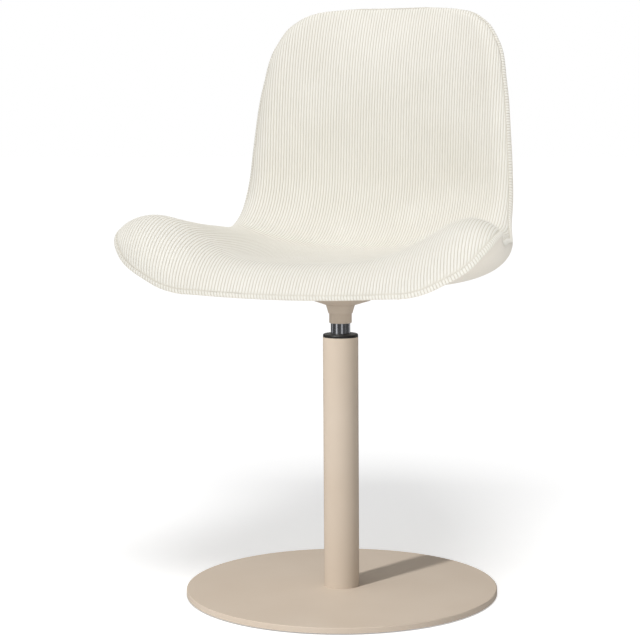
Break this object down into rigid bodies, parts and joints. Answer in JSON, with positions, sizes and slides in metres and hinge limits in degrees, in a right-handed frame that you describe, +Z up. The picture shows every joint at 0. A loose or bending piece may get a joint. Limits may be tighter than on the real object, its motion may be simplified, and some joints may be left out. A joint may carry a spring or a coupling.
{
  "type": "swivel dining chair",
  "caption": "One-piece upholstered shell of seat and back on a swivelling hub, over a round column and a flat round floor disc, for sitting at a table.",
  "frame": {"origin": "on the floor, on the axis of the column", "axes": "+Z up along the column, the sitter faces -Y, +X to the sitter's left"},
  "size_m": [0.5284, 0.5385, 0.8545],
  "materials": {
    "coated_steel": "fine matt powder coat",
    "bright_steel": "polished",
    "plain_steel": "plain",
    "black_plastic": "moulded, satin",
    "sheet_rubber": "matt",
    "plywood": "raw moulded plywood",
    "foam": "open-cell foam",
    "ribbed_fabric": "corduroy",
    "plain_fabric": "close woven"
  },
  "bodies": {
    "base": {"base_plate": "coated_steel", "floor_sheet": "sheet_rubber", "column_tube": "coated_steel", "column_foot": "plain_steel", "column_screws": "plain_steel", "upper_bush": "black_plastic", "bearing_support": "plain_steel", "lower_bush": "black_plastic", "thrust_lower_race": "plain_steel"},
    "bearing_cage": {"ball_cage": "plain_steel", "thrust_balls": "plain_steel"},
    "seat": {"thrust_upper_race": "plain_steel", "spindle": "bright_steel", "stop_washer": "plain_steel", "spindle_circlip": "plain_steel", "hub_socket": "coated_steel", "hub_dish": "coated_steel", "hub_bolt": "plain_steel", "hub_bolt_washer": "plain_steel", "mount_spacers": "plain_steel", "mount_screws": "plain_steel", "mount_washers": "plain_steel", "tee_nuts": "plain_steel", "shell_core": "plywood", "face_foam": "foam", "rear_foam": "foam", "face_cover": "ribbed_fabric", "edge_gusset": "ribbed_fabric", "rear_cover": "plain_fabric"}
  },
  "joints": [
    {"name": "swivel", "type": "hinge", "parent": "base", "child": "seat", "pos_m": [0, 0, 0.222], "axis": [0, 0, 1], "continuous": true},
    {"name": "cage_turn", "type": "hinge", "parent": "base", "child": "bearing_cage", "pos_m": [0, 0, 0.217], "axis": [0, 0, 1], "continuous": true}
  ],
  "couplings": [
    {"joint": "cage_turn", "follows": "swivel", "ratio": 0.5}
  ]
}
